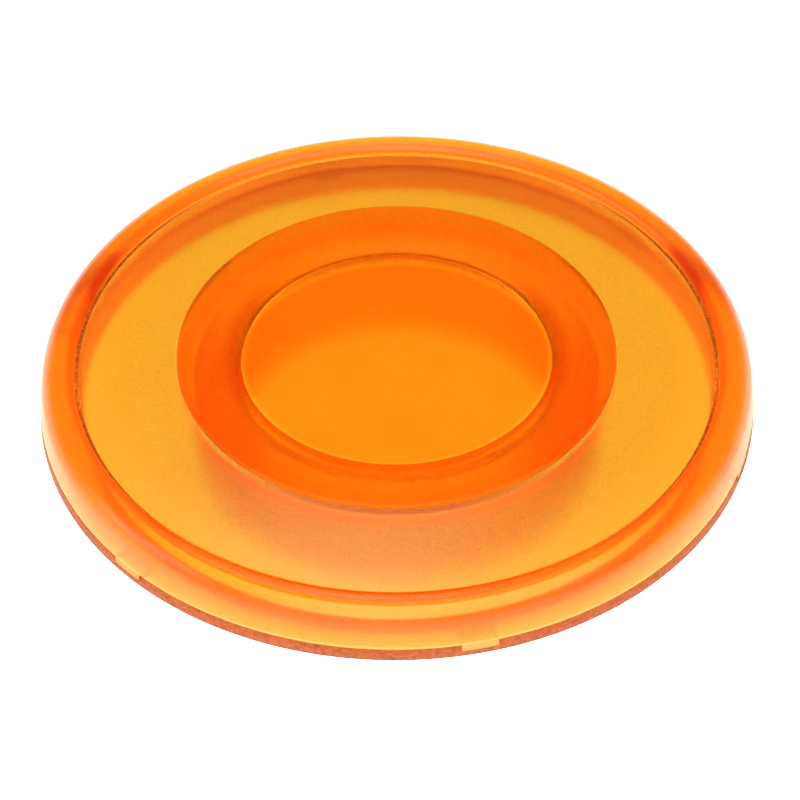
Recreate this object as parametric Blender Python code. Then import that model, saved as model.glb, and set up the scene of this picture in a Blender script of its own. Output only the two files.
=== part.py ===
"""Round raised pavement marker: an amber lens head on a round anchor wall.

Metres, +Z up. The origin is the centre of the anchor's foot, and -Y is the front.
Every ring is a turned outline: radius along X, height along Z.
"""
import math

import bmesh
import bpy

# Driving dimensions
MM = 0.001
OUTER_RADIUS = 50.0 * MM        # bottom edge of the head
RIM_BASE = 8.0 * MM             # road face of the head, above the anchor's foot
HEIGHT = RIM_BASE + 10.0 * MM   # anchor's foot to the collar's top edge
GAP = 0.3 * MM                  # clearance between neighbouring pieces
TURN_STEPS = 72                 # facets round every turned piece

# Base ring and its tabs
BASE_TOP = RIM_BASE + 2.0 * MM
BASE_CHAMFER = 0.25 * MM
TAB_COUNT = 6
TAB_START = math.radians(12.5)  # first tab, anticlockwise from the front
TAB_WIDTH = 5.0 * MM
TAB_BOTTOM = RIM_BASE + 0.9 * MM
TAB_TOP = BASE_TOP - 0.1 * MM
TAB_DEPTH = 3.2 * MM
TAB_SETBACK = 0.15 * MM

# Rim ring
WALL_RADIUS = 49.62 * MM        # top of the drafted side wall
WALL_INNER_RADIUS = 43.9 * MM
RIM_TOP = HEIGHT - 1.37 * MM
RIM_FILLET = 3.5 * MM
RIM_LIP_RADIUS = 1.15 * MM
RIM_LIP_INNER_RADIUS = 45.4 * MM

# Top plate, a shallow cone from the collar down to the rim
PLATE_INNER_RADIUS = 23.1 * MM
PLATE_OUTER_RADIUS = 44.4 * MM
PLATE_THICKNESS = 2.2 * MM
PLATE_HIGH = HEIGHT - 0.7 * MM
PLATE_LOW = HEIGHT - 2.6 * MM
SEAT_TOP = HEIGHT - 2.4 * MM
SEAT_BOTTOM = HEIGHT - 3.9 * MM

# Collar ring
COLLAR_OUTER_RADIUS = 30.63 * MM
COLLAR_INNER_RADIUS = 21.8 * MM
COLLAR_EDGE_FILLET = 0.35 * MM
COLLAR_INNER_FILLET = 1.5 * MM
COLLAR_INNER_TOP = HEIGHT - 0.3 * MM

# Centre window, held by its flange between the collar and the anchor
WINDOW_FLANGE_RADIUS = 22.8 * MM
WINDOW_FLANGE_TOP = HEIGHT - 2.8 * MM
WINDOW_EDGE_TOP = HEIGHT - 1.4 * MM
WINDOW_DISH = 0.4 * MM
WINDOW_EDGE_FILLET = 0.4 * MM

# Anchor ring, the round wall that enters the road
ANCHOR_OUTER_RADIUS = 28.4 * MM
ANCHOR_INNER_RADIUS = 21.9 * MM
ANCHOR_DRAFT = 0.3 * MM
ANCHOR_CHAMFER = 0.4 * MM

SHARP_ANGLE = math.radians(40.0)


def clear_scene():
    for obj in list(bpy.data.objects):
        bpy.data.objects.remove(obj, do_unlink=True)


def plastic(name, colour, roughness):
    """A Principled material of one plastic."""
    material = bpy.data.materials.new(name)
    material.use_nodes = True
    shader = material.node_tree.nodes["Principled BSDF"]
    shader.inputs["Base Color"].default_value = (*colour, 1.0)
    shader.inputs["Roughness"].default_value = roughness
    shader.inputs["Metallic"].default_value = 0.0
    material.diffuse_color = (*colour, 1.0)
    return material


def arc(centre, radius, start_deg, end_deg, steps):
    """Points of a round stretch of an outline; 0 degrees is outwards, 90 is up."""
    points = []
    for step in range(steps + 1):
        angle = math.radians(start_deg + (end_deg - start_deg) * step / steps)
        x = centre[0] + radius * math.cos(angle)
        z = centre[1] + radius * math.sin(angle)
        points.append((x, z))
    return points


def add_object(name, bm, material):
    """Puts a finished bmesh in the scene as one smooth-shaded object."""
    bmesh.ops.recalc_face_normals(bm, faces=bm.faces[:])
    mesh = bpy.data.meshes.new(name)
    bm.to_mesh(mesh)
    bm.free()
    mesh.shade_smooth()
    mesh.set_sharp_from_angle(angle=SHARP_ANGLE)
    mesh.materials.append(material)
    obj = bpy.data.objects.new(name, mesh)
    bpy.context.scene.collection.objects.link(obj)
    return obj


def turned(name, outline, material, closed=True):
    """Turns an outline once round Z. An open outline starts and ends on the axis."""
    bm = bmesh.new()
    verts = [bm.verts.new((x, 0.0, z)) for x, z in outline]
    edges = [bm.edges.new(pair) for pair in zip(verts, verts[1:])]
    if closed:
        edges.append(bm.edges.new((verts[-1], verts[0])))
    bmesh.ops.spin(
        bm, geom=verts + edges, cent=(0.0, 0.0, 0.0), axis=(0.0, 0.0, 1.0),
        angle=2.0 * math.pi, steps=TURN_STEPS, use_merge=True,
    )
    bmesh.ops.remove_doubles(bm, verts=bm.verts[:], dist=1e-6)
    return add_object(name, bm, material)


def plate_top(radius):
    """Height of the top plate's conical upper face at a radius."""
    span = PLATE_OUTER_RADIUS - COLLAR_OUTER_RADIUS
    return PLATE_HIGH + (PLATE_LOW - PLATE_HIGH) * (radius - COLLAR_OUTER_RADIUS) / span


def rim_ring():
    """Rounded rim and drafted side wall, whose top inner shoulder carries the top plate."""
    bottom = BASE_TOP + GAP
    crown = (WALL_RADIUS - RIM_FILLET, RIM_TOP - RIM_FILLET)
    lip_end = RIM_LIP_INNER_RADIUS + RIM_LIP_RADIUS
    crown_rise = math.sqrt(RIM_FILLET ** 2 - (lip_end - crown[0]) ** 2)
    lip = (lip_end, crown[1] + crown_rise - RIM_LIP_RADIUS)
    drop = PLATE_THICKNESS + 1.2 * GAP
    outline = arc(lip, RIM_LIP_RADIUS, 180.0, 90.0, 4)
    outline += arc(crown, RIM_FILLET, 78.0, 0.0, 8)
    outline += [
        (OUTER_RADIUS - 0.05 * MM, bottom),
        (WALL_INNER_RADIUS, bottom),
        (WALL_INNER_RADIUS, plate_top(WALL_INNER_RADIUS) - drop),
        (RIM_LIP_INNER_RADIUS, plate_top(RIM_LIP_INNER_RADIUS) - drop),
    ]
    return turned("rim_ring", outline, plastic("amber_gloss", (0.95, 0.36, 0.05), 0.18))


def seam_bead():
    """Sealing bead between the top plate's edge and the rim."""
    inner = PLATE_OUTER_RADIUS + GAP
    outer = RIM_LIP_INNER_RADIUS - GAP
    radius = 0.5 * (outer - inner)
    top = PLATE_LOW - radius
    bottom = plate_top(outer) - PLATE_THICKNESS
    outline = arc((inner + radius, top), radius, 180.0, 0.0, 4)
    outline += [(outer, bottom), (inner, bottom)]
    return turned("seam_bead", outline, plastic("sealant_brown", (0.55, 0.14, 0.03), 0.6))


def top_plate():
    """Conical satin annulus, with a stepped seat under the collar."""
    step_radius = COLLAR_OUTER_RADIUS + GAP
    edge_round = 0.25 * MM
    step_start = step_radius + 1.0 * MM
    outline = [
        (PLATE_INNER_RADIUS, SEAT_TOP),
        (step_radius, SEAT_TOP),
        (step_radius, plate_top(step_radius)),
        (PLATE_OUTER_RADIUS - edge_round, plate_top(PLATE_OUTER_RADIUS - edge_round)),
        (PLATE_OUTER_RADIUS, PLATE_LOW - edge_round),
        (PLATE_OUTER_RADIUS, PLATE_LOW - PLATE_THICKNESS),
        (step_start, plate_top(step_start) - PLATE_THICKNESS),
        (step_start - 0.4 * MM, SEAT_BOTTOM),
        (PLATE_INNER_RADIUS, SEAT_BOTTOM),
    ]
    return turned("top_plate", outline, plastic("amber_satin", (0.92, 0.42, 0.05), 0.42))


def collar_ring():
    """Flat ring a little proud of the plate, rounded down towards the window."""
    fillet = COLLAR_EDGE_FILLET
    inner_fillet = COLLAR_INNER_FILLET
    inner_centre = (COLLAR_INNER_RADIUS + inner_fillet, COLLAR_INNER_TOP - inner_fillet)
    outline = arc(inner_centre, inner_fillet, 180.0, 92.0, 4)
    outline += arc((COLLAR_OUTER_RADIUS - fillet, HEIGHT - fillet), fillet, 90.0, 0.0, 4)
    outline += [
        (COLLAR_OUTER_RADIUS, SEAT_TOP + GAP),
        (COLLAR_INNER_RADIUS, SEAT_TOP + GAP),
    ]
    return turned("collar_ring", outline, plastic("amber_deep", (0.95, 0.20, 0.02), 0.30))


def centre_window():
    """Shallow dished disc with a flange that the collar traps on the anchor."""
    edge_radius = COLLAR_INNER_RADIUS - GAP
    fillet = WINDOW_EDGE_FILLET
    dish_edge = edge_radius - fillet
    dish_steps = 6
    outline = [(0.0, WINDOW_EDGE_TOP - WINDOW_DISH)]
    for step in range(1, dish_steps):
        radius = dish_edge * step / dish_steps
        fall = WINDOW_DISH * (1.0 - (radius / dish_edge) ** 2)
        outline.append((radius, WINDOW_EDGE_TOP - fall))
    outline += arc((dish_edge, WINDOW_EDGE_TOP - fillet), fillet, 90.0, 0.0, 3)
    outline += [
        (edge_radius, WINDOW_FLANGE_TOP),
        (WINDOW_FLANGE_RADIUS, WINDOW_FLANGE_TOP),
        (WINDOW_FLANGE_RADIUS, SEAT_BOTTOM),
        (0.0, SEAT_BOTTOM),
    ]
    return turned("centre_window", outline, plastic("amber_window", (0.95, 0.33, 0.03), 0.30), closed=False)


def anchor_ring():
    """Round wall under the collar that stands below the head, with a drafted outside."""
    top = SEAT_BOTTOM - GAP
    foot_radius = ANCHOR_OUTER_RADIUS - ANCHOR_DRAFT
    outline = [
        (ANCHOR_INNER_RADIUS, top),
        (ANCHOR_OUTER_RADIUS, top),
        (foot_radius, ANCHOR_CHAMFER),
        (foot_radius - ANCHOR_CHAMFER, 0.0),
        (ANCHOR_INNER_RADIUS + ANCHOR_CHAMFER, 0.0),
        (ANCHOR_INNER_RADIUS, ANCHOR_CHAMFER),
    ]
    return turned("anchor_ring", outline, plastic("amber_anchor", (0.85, 0.22, 0.03), 0.35))


def tab_angles():
    """Directions of the tabs, measured anticlockwise from +X."""
    front = math.radians(-90.0)
    return [front + TAB_START + 2.0 * math.pi * index / TAB_COUNT for index in range(TAB_COUNT)]


def radial_block(bm, outline, width, angle):
    """Extrudes an outline of radius and height across a width, turned to an angle."""
    cosine, sine = math.cos(angle), math.sin(angle)
    sides = []
    for offset in (-0.5 * width, 0.5 * width):
        verts = []
        for x, z in outline:
            verts.append(bm.verts.new((x * cosine - offset * sine, x * sine + offset * cosine, z)))
        sides.append(verts)
    first, second = sides
    bm.faces.new(first)
    bm.faces.new(reversed(second))
    count = len(outline)
    for index in range(count):
        after = (index + 1) % count
        bm.faces.new((first[after], first[index], second[index], second[after]))


def notch_cutter():
    """Blocks that cut the tab pockets into the base ring's upper outer edge."""
    bottom = TAB_BOTTOM - GAP
    top = BASE_TOP + 1.0 * MM
    inner = OUTER_RADIUS - TAB_SETBACK - TAB_DEPTH - GAP
    outer = OUTER_RADIUS + 2.0 * MM
    bm = bmesh.new()
    for angle in tab_angles():
        block = [(inner, bottom), (outer, bottom), (outer, top), (inner, top)]
        radial_block(bm, block, TAB_WIDTH + 2.0 * GAP, angle)
    cutter = add_object("notch_cutter", bm, plastic("cutter", (0.5, 0.5, 0.5), 0.5))
    cutter.hide_render = True
    cutter.display_type = "WIRE"
    return cutter


def base_ring(cutter):
    """Dark band that closes the head's bottom edge, with pockets for the tabs."""
    chamfer = BASE_CHAMFER
    outline = [
        (WALL_INNER_RADIUS, BASE_TOP),
        (OUTER_RADIUS, BASE_TOP),
        (OUTER_RADIUS, RIM_BASE + chamfer),
        (OUTER_RADIUS - chamfer, RIM_BASE),
        (WALL_INNER_RADIUS, RIM_BASE),
    ]
    ring = turned("base_ring", outline, plastic("base_brown", (0.50, 0.13, 0.05), 0.45))
    cut = ring.modifiers.new("tab_pockets", "BOOLEAN")
    cut.operation = "DIFFERENCE"
    cut.solver = "EXACT"
    cut.object = cutter
    return ring


def snap_tabs():
    """Small pale blocks in the base ring's pockets, just behind its outer face."""
    pale = plastic("pale_nylon", (0.95, 0.66, 0.36), 0.4)
    outer = OUTER_RADIUS - TAB_SETBACK
    inner = outer - TAB_DEPTH
    outline = [(inner, TAB_BOTTOM), (outer, TAB_BOTTOM), (outer, TAB_TOP), (inner, TAB_TOP)]
    for number, angle in enumerate(tab_angles(), start=1):
        bm = bmesh.new()
        radial_block(bm, outline, TAB_WIDTH, angle)
        add_object(f"snap_tab_{number}", bm, pale)


def build():
    clear_scene()
    rim_ring()
    seam_bead()
    top_plate()
    collar_ring()
    centre_window()
    anchor_ring()
    base_ring(notch_cutter())
    snap_tabs()


build()
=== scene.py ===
"""Looks of the round amber pavement marker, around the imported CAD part."""
import math

import bmesh
import bpy
from mathutils import Matrix, Vector


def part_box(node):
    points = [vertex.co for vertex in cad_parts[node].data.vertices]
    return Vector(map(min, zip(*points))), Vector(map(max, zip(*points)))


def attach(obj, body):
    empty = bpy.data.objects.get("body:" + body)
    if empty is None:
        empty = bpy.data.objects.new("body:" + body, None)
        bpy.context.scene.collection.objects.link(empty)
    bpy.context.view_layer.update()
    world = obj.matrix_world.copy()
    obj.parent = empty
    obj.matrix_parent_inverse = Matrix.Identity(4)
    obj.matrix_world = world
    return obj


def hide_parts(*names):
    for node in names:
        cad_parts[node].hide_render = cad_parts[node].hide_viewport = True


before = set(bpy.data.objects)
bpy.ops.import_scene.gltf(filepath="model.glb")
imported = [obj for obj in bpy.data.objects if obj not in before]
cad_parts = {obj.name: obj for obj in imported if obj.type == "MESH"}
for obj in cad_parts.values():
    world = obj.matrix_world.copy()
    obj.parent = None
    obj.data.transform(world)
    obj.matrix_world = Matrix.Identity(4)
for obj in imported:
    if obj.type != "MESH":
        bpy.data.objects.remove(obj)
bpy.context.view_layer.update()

MM = 0.001


def sizes(node):
    """Outer radius, lowest and highest point of a turned CAD node."""
    low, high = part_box(node)
    return high.x, low.z, high.z


# Sizes read from the CAD model
RIM_RADIUS, _, _ = sizes("rim_ring")
_, BEAD_BOTTOM, BEAD_TOP = sizes("seam_bead")
PLATE_RADIUS, PLATE_BOTTOM, _ = sizes("top_plate")
COLLAR_RADIUS, COLLAR_BOTTOM, HEIGHT = sizes("collar_ring")
WINDOW_RADIUS, WINDOW_BOTTOM, _ = sizes("centre_window")
ANCHOR_RADIUS, ANCHOR_BOTTOM, _ = sizes("anchor_ring")
BASE_RADIUS, BASE_BOTTOM, BASE_TOP = sizes("base_ring")

# Joints between the visible pieces are closed up to a hairline
SEAM = 0.06 * MM

# Sizes that the CAD pieces' boxes don't give
WALL_INNER_RADIUS = 43.9 * MM
LIP_INNER_RADIUS = 45.0 * MM
PLATE_INNER_RADIUS = 22.8 * MM
COLLAR_INNER_RADIUS = 21.7 * MM
ANCHOR_INNER_RADIUS = 21.9 * MM
PLATE_HIGH = HEIGHT - 0.7 * MM
PLATE_LOW = HEIGHT - 2.6 * MM
PLATE_CROWN = 0.15 * MM
PLATE_THICKNESS = 2.2 * MM
RIM_CROWN = HEIGHT - 1.37 * MM
WINDOW_EDGE_TOP = HEIGHT - 1.4 * MM
WINDOW_FLANGE_TOP = HEIGHT - 2.8 * MM
TAB_COUNT = 6
TAB_START = math.radians(12.5)
TAB_WIDTH = 5.0 * MM
TAB_INNER_RADIUS = 46.65 * MM
TAB_BOTTOM = BASE_BOTTOM + 0.9 * MM

# Meshes: turning steps, the angle that counts as a sharp edge, the corners that
# stay unrounded, and the share of an edge that a rounded corner may take up
TURN_STEPS = 240
SHARP_ANGLE = math.radians(40.0)
BLUNT_CORNER = math.radians(150.0)
CORNER_REACH = 0.45

# Textures of the plastics
FLOW_SIZE = 9.0 * MM
HAZE_PATCH_SIZE = 1.5 * MM
GRAIN_SIZE = 0.40 * MM
GRAIN_DEPTH = 0.002 * MM
SATIN_DEPTH = 0.05 * MM
GRAIN_DARK, GRAIN_LIGHT = 0.86, 1.14
SPECKLE_SIZE = 0.6 * MM
SPECKLE_DEPTH = 0.03 * MM
NYLON_FLOW_SIZE = 1.2 * MM
NYLON_GRAIN_SIZE = 0.3 * MM
NYLON_GRAIN_DEPTH = 0.01 * MM

# Absorption in the side wall and base ring, and in the anchor ring
SHELL_COLOUR, SHELL_DENSITY = (0.99, 0.72, 0.10), 430.0
ANCHOR_COLOUR, ANCHOR_DENSITY = (0.993, 0.71, 0.04), 205.0

# Stage: the floor glows like a light table
FLOOR_HALF = 3.0
FLOOR_GAP = 0.05 * MM
FLOOR_GLOW = 1.75
WORLD_GLOW = 0.06
# Name, position, width and height in metres, and power in watts
SOFTBOXES = (
    ("back_left", (-0.07, 0.40, 1.08), 0.24, 0.20, 1.5),
    ("front_top", (0.20, -0.70, 0.95), 1.8, 1.3, 17.0),
    ("front_low", (-0.35, -1.20, 0.55), 1.2, 0.5, 5.0),
    ("left_low", (-1.20, -0.25, 0.50), 0.8, 0.5, 5.0),
)
CAMERA_ELEVATION = math.radians(43.0)
CAMERA_ROLL = math.radians(-0.57)
CAMERA_DISTANCE = 0.6956


# ---------------------------------------------------------------- outlines

def arc(centre, radius, start_deg, end_deg, steps):
    """Round stretch of an outline; 0 degrees is outwards, 90 is up."""
    points = []
    for step in range(steps + 1):
        angle = math.radians(start_deg + (end_deg - start_deg) * step / steps)
        points.append((centre[0] + radius * math.cos(angle), centre[1] + radius * math.sin(angle)))
    return points


def softened(outline, radius, closed=True, steps=4):
    """The outline with its sharp corners rounded, as a mould leaves them."""
    count = len(outline)
    points = []
    for index, corner in enumerate(outline):
        if not closed and index in (0, count - 1):
            points.append(corner)
            continue
        here = Vector(corner)
        back = Vector(outline[index - 1]) - here
        ahead = Vector(outline[(index + 1) % count]) - here
        angle = back.angle(ahead)
        if angle > BLUNT_CORNER:
            points.append(corner)
            continue
        room = CORNER_REACH * back.length, CORNER_REACH * ahead.length
        reach = min(radius / math.tan(angle / 2), *room)
        start = here + back.normalized() * reach
        end = here + ahead.normalized() * reach
        for step in range(steps + 1):
            t = step / steps
            points.append(tuple((1 - t) ** 2 * start + 2 * t * (1 - t) * here + t * t * end))
    return points


def plate_height(radius):
    """Upper face of the top plate at a radius: a cone with a slight crown."""
    fall = (radius - COLLAR_RADIUS) / (PLATE_RADIUS - COLLAR_RADIUS)
    return PLATE_HIGH + (PLATE_LOW - PLATE_HIGH) * fall + 4.0 * PLATE_CROWN * fall * (1.0 - fall)


# ---------------------------------------------------------------- building

def place(obj, node):
    """Ties a visible piece to the body and hides the CAD node that it stands for."""
    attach(obj, "root")
    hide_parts(node)


def finish_mesh(name, bm, material):
    """Turns a bmesh into a smooth-shaded object in the scene."""
    bmesh.ops.recalc_face_normals(bm, faces=bm.faces[:])
    mesh = bpy.data.meshes.new(name)
    bm.to_mesh(mesh)
    bm.free()
    mesh.shade_smooth()
    mesh.materials.append(material)
    obj = bpy.data.objects.new(name, mesh)
    bpy.context.scene.collection.objects.link(obj)
    return obj


def turned(name, outline, material, closed=True):
    """Turns an outline of (radius, height) once round Z, with one vertex for a point on the axis."""
    bm = bmesh.new()
    turns = [2.0 * math.pi * step / TURN_STEPS for step in range(TURN_STEPS)]
    rings = []
    for x, z in outline:
        if x > 0.0:
            rings.append([bm.verts.new((x * math.cos(turn), x * math.sin(turn), z)) for turn in turns])
        else:
            rings.append([bm.verts.new((0.0, 0.0, z))] * TURN_STEPS)
    pairs = list(zip(rings, rings[1:]))
    if closed:
        pairs.append((rings[-1], rings[0]))
    for ring, following in pairs:
        for step in range(TURN_STEPS):
            corners = (ring[step - 1], ring[step], following[step], following[step - 1])
            bm.faces.new(list(dict.fromkeys(corners)))
    return finish_mesh(name, bm, material)


def moulded(name, outline, material, closed=True):
    """A turned piece whose broad faces keep their own normals beside the rounded edges."""
    obj = turned(name, outline, material, closed)
    modifier = obj.modifiers.new("weighted_normals", "WEIGHTED_NORMAL")
    modifier.weight = 80
    modifier.keep_sharp = True
    return obj


def radial_block(bm, outline, width, angle):
    """Extrudes an outline of radius and height across a width, turned to an angle."""
    cosine, sine = math.cos(angle), math.sin(angle)
    sides = []
    for offset in (-0.5 * width, 0.5 * width):
        verts = []
        for x, z in outline:
            verts.append(bm.verts.new((x * cosine - offset * sine, x * sine + offset * cosine, z)))
        sides.append(verts)
    first, second = sides
    bm.faces.new(first)
    bm.faces.new(reversed(second))
    count = len(outline)
    for index in range(count):
        after = (index + 1) % count
        bm.faces.new((first[after], first[index], second[index], second[after]))


def apply_modifiers(obj):
    """Makes the object's modifiers part of its mesh."""
    graph = bpy.context.evaluated_depsgraph_get()
    graph.update()
    mesh = bpy.data.meshes.new_from_object(obj.evaluated_get(graph))
    obj.modifiers.clear()
    obj.data = mesh


# ---------------------------------------------------------------- textures

def new_material(name):
    material = bpy.data.materials.new(name)
    material.use_nodes = True
    tree = material.node_tree
    shader = tree.nodes["Principled BSDF"]
    coordinates = tree.nodes.new("ShaderNodeTexCoord")
    return material, tree, shader, coordinates.outputs["Object"]


def noise(tree, coordinates, size, detail=2.0, roughness=0.5):
    """Noise whose features are about size metres across."""
    node = tree.nodes.new("ShaderNodeTexNoise")
    node.inputs["Scale"].default_value = 1.0 / size
    node.inputs["Detail"].default_value = detail
    node.inputs["Roughness"].default_value = roughness
    tree.links.new(coordinates, node.inputs["Vector"])
    return node.outputs["Fac"]


def spread(tree, value, low=0.0, high=1.0):
    """Maps noise, which keeps mostly between 0.3 and 0.7, to a range."""
    node = tree.nodes.new("ShaderNodeMapRange")
    node.inputs["From Min"].default_value = 0.3
    node.inputs["From Max"].default_value = 0.7
    node.inputs["To Min"].default_value = low
    node.inputs["To Max"].default_value = high
    tree.links.new(value, node.inputs["Value"])
    return node.outputs["Result"]


def two_tones(tree, factor, first, second):
    """Mix of two plain colours."""
    node = tree.nodes.new("ShaderNodeMix")
    node.data_type = "RGBA"
    node.inputs["A"].default_value = (*first, 1.0)
    node.inputs["B"].default_value = (*second, 1.0)
    tree.links.new(factor, node.inputs["Factor"])
    return node.outputs["Result"]


def tinted(tree, factor, tone, tint):
    """Mix of a tone that is already in the tree and a plain tint."""
    node = tree.nodes.new("ShaderNodeMix")
    node.data_type = "RGBA"
    node.inputs["B"].default_value = (*tint, 1.0)
    tree.links.new(tone, node.inputs["A"])
    tree.links.new(factor, node.inputs["Factor"])
    return node.outputs["Result"]


def grain(tree, coordinates, size, depth):
    """Spark-eroded mould texture as a bump."""
    node = tree.nodes.new("ShaderNodeBump")
    node.inputs["Strength"].default_value = 1.0
    node.inputs["Distance"].default_value = depth
    tree.links.new(noise(tree, coordinates, size), node.inputs["Height"])
    return node.outputs["Normal"]


def product(tree, first, second):
    node = tree.nodes.new("ShaderNodeMath")
    node.operation = "MULTIPLY"
    tree.links.new(first, node.inputs[0])
    tree.links.new(second, node.inputs[1])
    return node.outputs["Value"]


# ---------------------------------------------------------------- zones

def height_of(tree, coordinates):
    node = tree.nodes.new("ShaderNodeSeparateXYZ")
    tree.links.new(coordinates, node.inputs["Vector"])
    return node.outputs["Z"]


def radius_of(tree, coordinates):
    """Distance from the marker's axis."""
    flat = tree.nodes.new("ShaderNodeVectorMath")
    flat.operation = "MULTIPLY"
    flat.inputs[1].default_value = (1.0, 1.0, 0.0)
    tree.links.new(coordinates, flat.inputs[0])
    length = tree.nodes.new("ShaderNodeVectorMath")
    length.operation = "LENGTH"
    tree.links.new(flat.outputs["Vector"], length.inputs[0])
    return length.outputs["Value"]


def side_of(tree, coordinates):
    """Distance to the left or right of the middle."""
    parts = tree.nodes.new("ShaderNodeSeparateXYZ")
    tree.links.new(coordinates, parts.inputs["Vector"])
    size = tree.nodes.new("ShaderNodeMath")
    size.operation = "ABSOLUTE"
    tree.links.new(parts.outputs["X"], size.inputs[0])
    return size.outputs["Value"]


def speckle_of(tree, coordinates):
    """Coarse grains of the sealing bead and the base ring."""
    return noise(tree, coordinates, SPECKLE_SIZE, detail=3.0, roughness=0.8)


def radial(edge, start, end):
    """Step across a piece; start and end are millimetres outwards from an edge."""
    return radius_of, edge + start * MM, edge + end * MM


def upright(level, start, end):
    """Step up a piece; start and end are millimetres above a level."""
    return height_of, level + start * MM, level + end * MM


def sideways(start, end):
    """Step to the left and right; start and end are millimetres from the middle."""
    return side_of, start * MM, end * MM


def ramp(tree, value, start, end):
    """Smooth step from 0 at start to 1 at end."""
    node = tree.nodes.new("ShaderNodeMapRange")
    node.interpolation_type = "SMOOTHSTEP"
    node.inputs["From Min"].default_value = start
    node.inputs["From Max"].default_value = end
    tree.links.new(value, node.inputs["Value"])
    return node.outputs["Result"]


def zoned(tree, coordinates, tone, zones):
    """Overlays tints on parts of a piece.

    Each zone is a tint and the steps that bound it: a measure, and the values where
    the zone starts and is complete.
    """
    for tint, *steps in zones:
        factors = [ramp(tree, measure(tree, coordinates), start, end) for measure, start, end in steps]
        factor = factors[0]
        for extra in factors[1:]:
            factor = product(tree, factor, extra)
        tone = tinted(tree, factor, tone, tint)
    return tone


# ---------------------------------------------------------------- materials

def amber(name, light, deep, haze, clear, ior, coat=0.0, sheen=0.3, zones=()):
    """Dyed see-through plastic: slight flow mottling, a moulded grain and some haze."""
    material, tree, shader, coordinates = new_material(name)
    mottling = spread(tree, noise(tree, coordinates, FLOW_SIZE))
    tone = two_tones(tree, mottling, light, deep)
    tone = zoned(tree, coordinates, tone, zones)
    fine = noise(tree, coordinates, GRAIN_SIZE, detail=3.0, roughness=0.6)
    fine = spread(tree, fine, GRAIN_DARK, GRAIN_LIGHT)
    grained = tree.nodes.new("ShaderNodeVectorMath")
    grained.operation = "SCALE"
    tree.links.new(tone, grained.inputs[0])
    tree.links.new(fine, grained.inputs["Scale"])
    tree.links.new(grained.outputs["Vector"], shader.inputs["Base Color"])
    patches = noise(tree, coordinates, HAZE_PATCH_SIZE)
    tree.links.new(spread(tree, patches, haze * 0.9, haze * 1.1), shader.inputs["Roughness"])
    shader.inputs["Transmission Weight"].default_value = clear
    shader.inputs["IOR"].default_value = ior
    shader.inputs["Coat Weight"].default_value = coat
    shader.inputs["Coat Roughness"].default_value = sheen
    shader.inputs["Subsurface Weight"].default_value = 1.0
    shader.inputs["Subsurface Radius"].default_value = (1.0, 0.35, 0.08)
    shader.inputs["Subsurface Scale"].default_value = 3.0 * MM
    tree.links.new(grain(tree, coordinates, GRAIN_SIZE, GRAIN_DEPTH), shader.inputs["Normal"])
    tree.links.new(grain(tree, coordinates, GRAIN_SIZE, SATIN_DEPTH), shader.inputs["Coat Normal"])
    return material


def granular_brown(name, light, dark, roughness, clear, ior, zones):
    """Coarse dark texture of the base ring's outer face and the sealing bead."""
    material, tree, shader, coordinates = new_material(name)
    speckle = spread(tree, speckle_of(tree, coordinates))
    tone = two_tones(tree, speckle, dark, light)
    tree.links.new(zoned(tree, coordinates, tone, zones), shader.inputs["Base Color"])
    shader.inputs["Roughness"].default_value = roughness
    shader.inputs["Transmission Weight"].default_value = clear
    shader.inputs["IOR"].default_value = ior
    tree.links.new(grain(tree, coordinates, GRAIN_SIZE, SPECKLE_DEPTH), shader.inputs["Normal"])
    return material


def pale_nylon():
    """Clear nylon with a slightly tinted, rubbed outer face."""
    material, tree, shader, coordinates = new_material("pale_nylon")
    mottling = spread(tree, noise(tree, coordinates, NYLON_FLOW_SIZE))
    tone = two_tones(tree, mottling, (0.98, 0.80, 0.45), (0.99, 0.88, 0.55))
    outer_face = ((0.95, 0.30, 0.16), radial(BASE_RADIUS, -0.3, -0.15))
    tree.links.new(zoned(tree, coordinates, tone, (outer_face,)), shader.inputs["Base Color"])
    shader.inputs["Roughness"].default_value = 0.5
    shader.inputs["Transmission Weight"].default_value = 0.9
    shader.inputs["IOR"].default_value = 1.06
    bump = grain(tree, coordinates, NYLON_GRAIN_SIZE, NYLON_GRAIN_DEPTH)
    tree.links.new(bump, shader.inputs["Normal"])
    return material


def thickness_colour(material, colour, density):
    """Lets thick stretches of a plastic look deeper than thin ones."""
    tree = material.node_tree
    absorption = tree.nodes.new("ShaderNodeVolumeAbsorption")
    absorption.inputs["Color"].default_value = (*colour, 1.0)
    absorption.inputs["Density"].default_value = density
    tree.links.new(absorption.outputs["Volume"], tree.nodes["Material Output"].inputs["Volume"])


# ---------------------------------------------------------------- pieces

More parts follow.
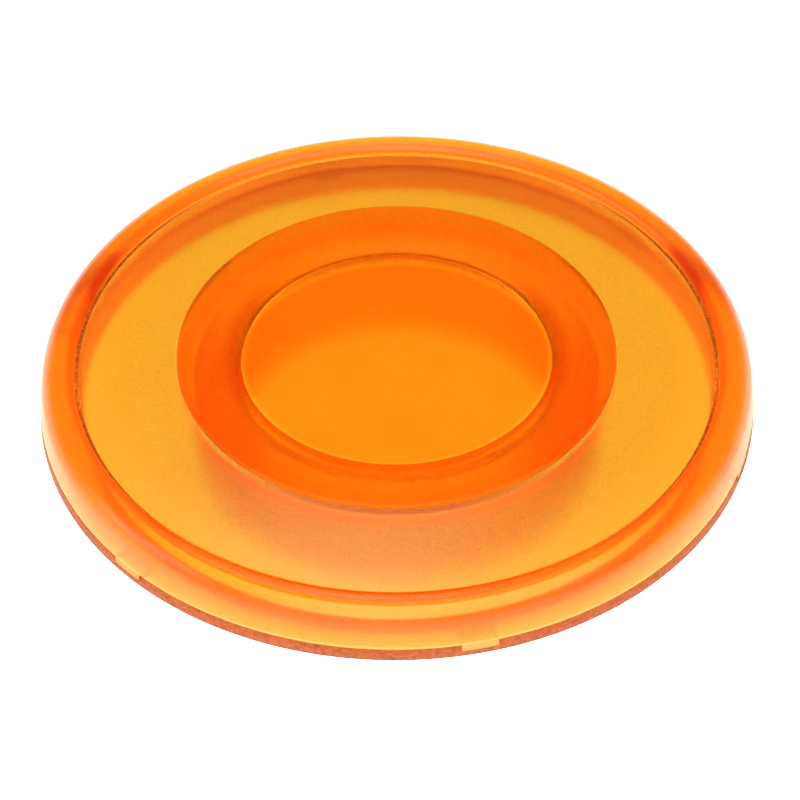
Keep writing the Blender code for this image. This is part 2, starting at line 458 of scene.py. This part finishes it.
def rim():
    """Side wall with a rounded crown and a small lip round its inner edge."""
    wall_top_radius, fillet, lip = 49.62 * MM, 3.5 * MM, 1.15 * MM
    crown_start_deg = 86.0
    bottom = BASE_TOP + SEAM
    drop = PLATE_THICKNESS + SEAM
    crown = (wall_top_radius - fillet, RIM_CROWN - fillet)
    lip_end = LIP_INNER_RADIUS + lip
    lip_top = crown[1] + math.sqrt(fillet ** 2 - (lip_end - crown[0]) ** 2)
    outline = arc((lip_end, lip_top - lip), lip, 180.0, 90.0, steps=12)
    outline += arc(crown, fillet, crown_start_deg, 0.0, steps=28)
    outline += [
        (RIM_RADIUS, bottom),
        (WALL_INNER_RADIUS, bottom),
        (WALL_INNER_RADIUS, plate_height(WALL_INNER_RADIUS) - drop),
        (LIP_INNER_RADIUS, plate_height(LIP_INNER_RADIUS) - drop),
    ]
    undyed = (0.995, 0.92, 0.65)
    inside = (undyed, radial(LIP_INNER_RADIUS, 1.4, 0.7), upright(PLATE_LOW, 0.0, -0.3))
    foot = (undyed, upright(bottom, 0.5, 0.1))
    # painted shade: a dark red band on the lip's inner side, down into the crease between rim and
    # plate
    painted_crease_shade = ((0.90, 0.16, 0.03), radial(LIP_INNER_RADIUS, 1.5, 0.5), upright(PLATE_LOW, -0.15, 0.2))
    material = amber(
        "amber_gloss", light=(0.93, 0.43, 0.065), deep=(0.92, 0.40, 0.055),
        haze=0.40, clear=0.95, ior=1.10, coat=0.5, sheen=0.22,
        zones=(inside, foot, painted_crease_shade),
    )
    thickness_colour(material, SHELL_COLOUR, SHELL_DENSITY)
    place(moulded("rim", softened(outline, 0.15 * MM), material), "rim_ring")


def bead():
    """Round-topped bead of sealant between rim and plate, with painted shade darkening it at the left
    and right.
    """
    inner, outer = PLATE_RADIUS + SEAM, LIP_INNER_RADIUS - SEAM
    radius = (outer - inner) / 2
    outline = arc((inner + radius, BEAD_TOP - radius), radius, 180.0, 0.0, steps=12)
    outline += [(outer, BEAD_BOTTOM), (inner, BEAD_BOTTOM)]
    # painted shade: dark speckled patches on the bead at the left and right, where the crease looks
    # darker
    painted_side_shade = ((0.50, 0.18, 0.03), sideways(24.0, 40.0), (speckle_of, 0.3, 0.55))
    material = granular_brown(
        "sealant_brown", light=(0.99, 0.86, 0.45), dark=(0.88, 0.60, 0.22),
        roughness=0.5, clear=0.9, ior=1.08, zones=(painted_side_shade,),
    )
    place(turned("bead", outline, material), "seam_bead")


def plate():
    """Slightly conical annulus, with a lower seat for the collar at its inner side."""
    inner = PLATE_INNER_RADIUS + SEAM
    step = COLLAR_RADIUS + 0.02 * MM
    seat = COLLAR_BOTTOM - SEAM
    slope_inner, slope_outer = COLLAR_RADIUS + 0.6 * MM, COLLAR_RADIUS + 8.0 * MM
    top_steps = 10
    outline = [(inner, seat), (step, seat)]
    for index in range(top_steps + 1):
        radius = step + (PLATE_RADIUS - step) * index / top_steps
        outline.append((radius, plate_height(radius)))
    outline += [
        (PLATE_RADIUS, plate_height(PLATE_RADIUS) - PLATE_THICKNESS),
        (slope_outer, plate_height(slope_outer) - PLATE_THICKNESS),
        (slope_inner, PLATE_BOTTOM),
        (inner, PLATE_BOTTOM),
    ]
    under_collar = ((0.93, 0.205, 0.012), radial(step, 0.05, -0.15))
    over_anchor = ((0.99, 0.85, 0.50), radial(ANCHOR_RADIUS, 1.2, -1.8))
    # the seat's step face: lighter than the plate as a joint face, toned down to a darker orange as
    # painted shade below the collar's edge
    step_face_shade = ((0.96, 0.62, 0.20), radial(step, 0.12, 0.02), upright(seat, -0.6, -0.2))
    outer = ((0.80, 0.30, 0.014), radial(PLATE_RADIUS, -6.5, -2.0))
    edge = ((0.97, 0.80, 0.25), radial(PLATE_RADIUS, -0.25, -0.05), upright(PLATE_LOW, -0.05, -0.3))
    material = amber(
        "amber_satin", light=(0.62, 0.29, 0.011), deep=(0.61, 0.27, 0.009),
        haze=0.34, clear=0.88, ior=1.15, coat=1.0, sheen=0.33,
        zones=(under_collar, over_anchor, step_face_shade, outer, edge),
    )
    place(moulded("plate", softened(outline, 0.1 * MM), material), "top_plate")


def collar():
    """Flat ring with a rounded drop to the window."""
    fillet, inner_fillet, inner_fall = 0.55 * MM, 1.3 * MM, 0.3 * MM
    inner_centre = (COLLAR_INNER_RADIUS + inner_fillet, HEIGHT - inner_fall - inner_fillet)
    outline = arc(inner_centre, inner_fillet, 180.0, 92.0, steps=10)
    outline += arc((COLLAR_RADIUS - fillet, HEIGHT - fillet), fillet, 90.0, 0.0, steps=8)
    outline += [(COLLAR_RADIUS, COLLAR_BOTTOM), (COLLAR_INNER_RADIUS, COLLAR_BOTTOM)]
    # the collar's outer side: lighter than the collar as a joint face, toned down to a darker orange
    # as painted shade at the collar's foot
    side = ((0.95, 0.42, 0.05), radial(COLLAR_RADIUS, -0.25, -0.05))
    drop = ((0.99, 0.32, 0.010), radial(COLLAR_INNER_RADIUS, 2.6, 0.8))
    shade = ((0.72, 0.20, 0.006), radial(COLLAR_INNER_RADIUS, 3.2, 0.8), sideways(15.0, 21.0))
    material = amber(
        "amber_deep", light=(0.86, 0.30, 0.010), deep=(0.85, 0.28, 0.009),
        haze=0.34, clear=0.88, ior=1.12, zones=(side, drop, shade),
    )
    place(moulded("collar", softened(outline, 0.1 * MM), material), "collar_ring")


def window():
    """Slightly dished disc on a wider flange that runs under the collar."""
    edge = COLLAR_INNER_RADIUS - SEAM
    fillet, dish = 0.4 * MM, 0.4 * MM
    dish_edge = edge - fillet
    dish_steps = 16
    outline = [(0.0, WINDOW_EDGE_TOP - dish)]
    for step in range(1, dish_steps):
        radius = dish_edge * step / dish_steps
        outline.append((radius, WINDOW_EDGE_TOP - dish * (1.0 - (radius / dish_edge) ** 2)))
    outline += arc((dish_edge, WINDOW_EDGE_TOP - fillet), fillet, 90.0, 0.0, steps=8)
    outline += [
        (edge, WINDOW_FLANGE_TOP),
        (WINDOW_RADIUS, WINDOW_FLANGE_TOP),
        (WINDOW_RADIUS, WINDOW_BOTTOM),
        (0.0, WINDOW_BOTTOM),
    ]
    brim = ((0.80, 0.33, 0.02), radial(edge, -0.9, -0.1))
    flange = ((0.98, 0.62, 0.06), radial(edge, 0.0, 0.15))
    material = amber(
        "amber_window", light=(0.67, 0.20, 0.004), deep=(0.66, 0.19, 0.003),
        haze=0.32, clear=0.88, ior=1.15, zones=(brim, flange),
    )
    outline = softened(outline, 0.1 * MM, closed=False)
    place(moulded("window", outline, material, closed=False), "centre_window")


def anchor():
    """Open-ended round wall below the collar, with draft and chamfered ends."""
    draft, chamfer = 0.3 * MM, 0.4 * MM
    top = PLATE_BOTTOM - SEAM
    foot = ANCHOR_RADIUS - draft
    outline = [
        (ANCHOR_INNER_RADIUS, top),
        (ANCHOR_RADIUS, top),
        (foot, ANCHOR_BOTTOM + chamfer),
        (foot - chamfer, ANCHOR_BOTTOM),
        (ANCHOR_INNER_RADIUS + chamfer, ANCHOR_BOTTOM),
        (ANCHOR_INNER_RADIUS, ANCHOR_BOTTOM + chamfer),
    ]
    material = amber(
        "amber_anchor", light=(0.995, 0.96, 0.80), deep=(0.99, 0.93, 0.75),
        haze=0.35, clear=0.95, ior=1.08,
    )
    thickness_colour(material, ANCHOR_COLOUR, ANCHOR_DENSITY)
    place(moulded("anchor", softened(outline, 0.15 * MM), material), "anchor_ring")


def tab_angles():
    front = math.radians(-90.0)
    return [front + TAB_START + 2.0 * math.pi * index / TAB_COUNT for index in range(TAB_COUNT)]


def base():
    """Ring below the side wall, dark brown on its outer face, notched for the tabs."""
    outline = [
        (WALL_INNER_RADIUS, BASE_TOP),
        (BASE_RADIUS, BASE_TOP),
        (BASE_RADIUS, BASE_BOTTOM),
        (WALL_INNER_RADIUS, BASE_BOTTOM),
    ]
    body = ((0.995, 0.85, 0.50), radial(BASE_RADIUS, -0.1, -0.4))
    inner_wall = ((0.99, 0.25, 0.05), radial(WALL_INNER_RADIUS, 0.4, 0.1))
    material = granular_brown(
        "base_brown", light=(0.26, 0.034, 0.016), dark=(0.06, 0.006, 0.003),
        roughness=0.45, clear=0.95, ior=1.10, zones=(body, inner_wall),
    )
    thickness_colour(material, SHELL_COLOUR, SHELL_DENSITY)
    obj = turned("base", softened(outline, 0.22 * MM), material)
    inner, outer = TAB_INNER_RADIUS - SEAM, BASE_RADIUS + 2.0 * MM
    bottom, top = TAB_BOTTOM - SEAM, BASE_TOP + 1.0 * MM
    notch = [(inner, bottom), (outer, bottom), (outer, top), (inner, top)]
    bm = bmesh.new()
    for angle in tab_angles():
        radial_block(bm, notch, TAB_WIDTH + 2.0 * SEAM, angle)
    cutter = finish_mesh("notch_cutter", bm, material)
    cut = obj.modifiers.new("notches", "BOOLEAN")
    cut.operation = "DIFFERENCE"
    cut.solver = "EXACT"
    cut.object = cutter
    apply_modifiers(obj)
    bpy.data.objects.remove(cutter, do_unlink=True)
    obj.data.set_sharp_from_angle(angle=SHARP_ANGLE)
    place(obj, "base_ring")


def tabs():
    """Six small blocks in the base ring's notches."""
    material = pale_nylon()
    inner, outer = TAB_INNER_RADIUS, BASE_RADIUS - 0.1 * MM
    bottom, top = TAB_BOTTOM, BASE_TOP - 0.05 * MM
    outline = softened([(inner, bottom), (outer, bottom), (outer, top), (inner, top)], 0.15 * MM)
    for number, angle in enumerate(tab_angles(), start=1):
        bm = bmesh.new()
        radial_block(bm, outline, TAB_WIDTH, angle)
        obj = finish_mesh(f"tab_{number}", bm, material)
        bevel = obj.modifiers.new("moulded_edges", "BEVEL")
        bevel.width = 0.1 * MM
        bevel.segments = 3
        bevel.limit_method = "ANGLE"
        bevel.angle_limit = math.radians(50.0)
        apply_modifiers(obj)
        obj.data.set_sharp_from_angle(angle=SHARP_ANGLE)
        place(obj, f"snap_tab_{number}")


# ---------------------------------------------------------------- stage

def floor():
    mesh = bpy.data.meshes.new("floor")
    corners = [(-1, -1), (1, -1), (1, 1), (-1, 1)]
    verts = [(FLOOR_HALF * x, FLOOR_HALF * y, 0.0) for x, y in corners]
    mesh.from_pydata(verts, [], [(0, 1, 2, 3)])
    material, _, shader, _ = new_material("floor_white")
    shader.inputs["Base Color"].default_value = (0.35, 0.35, 0.35, 1.0)
    shader.inputs["Roughness"].default_value = 0.9
    shader.inputs["Specular IOR Level"].default_value = 0.0
    shader.inputs["Emission Color"].default_value = (1.0, 1.0, 1.0, 1.0)
    shader.inputs["Emission Strength"].default_value = FLOOR_GLOW
    mesh.materials.append(material)
    obj = bpy.data.objects.new("floor", mesh)
    obj.location.z = -FLOOR_GAP
    bpy.context.scene.collection.objects.link(obj)


def softbox(name, position, width, height, power):
    """A rectangular area light that faces the marker."""
    data = bpy.data.lights.new(name, "AREA")
    data.shape = "RECTANGLE"
    data.size = width
    data.size_y = height
    data.energy = power
    obj = bpy.data.objects.new(name, data)
    obj.location = position
    obj.rotation_euler = (-Vector(position)).to_track_quat("-Z", "Y").to_euler()
    bpy.context.scene.collection.objects.link(obj)


def studio():
    """Dim world, softboxes and enough light bounces for nested clear pieces."""
    scene = bpy.context.scene
    world = bpy.data.worlds.new("studio")
    scene.world = world
    world.use_nodes = True
    background = world.node_tree.nodes["Background"]
    background.inputs["Color"].default_value = (1.0, 1.0, 1.0, 1.0)
    background.inputs["Strength"].default_value = WORLD_GLOW
    for settings in SOFTBOXES:
        softbox(*settings)
    scene.view_settings.view_transform = "Standard"
    scene.view_settings.look = "None"
    scene.cycles.max_bounces = 32
    scene.cycles.transmission_bounces = 32
    scene.cycles.diffuse_bounces = 6
    scene.cycles.glossy_bounces = 8


def camera():
    """Long lens at the photograph's angle above the surface."""
    data = bpy.data.cameras.new("camera")
    data.sensor_width = 36.0
    data.lens = 225.0
    data.shift_x = 0.0044
    data.shift_y = -0.0625
    obj = bpy.data.objects.new("camera", data)
    towards = Vector((0.0, -math.cos(CAMERA_ELEVATION), math.sin(CAMERA_ELEVATION)))
    spot = Vector((0.0, 0.0, HEIGHT)) + towards * CAMERA_DISTANCE
    tilt = Matrix.Rotation(math.pi / 2 - CAMERA_ELEVATION, 4, "X")
    roll = Matrix.Rotation(CAMERA_ROLL, 4, "Z")
    obj.matrix_world = Matrix.Translation(spot) @ tilt @ roll
    bpy.context.scene.collection.objects.link(obj)
    bpy.context.scene.camera = obj


rim()
bead()
plate()
collar()
window()
anchor()
base()
tabs()
floor()
studio()
camera()
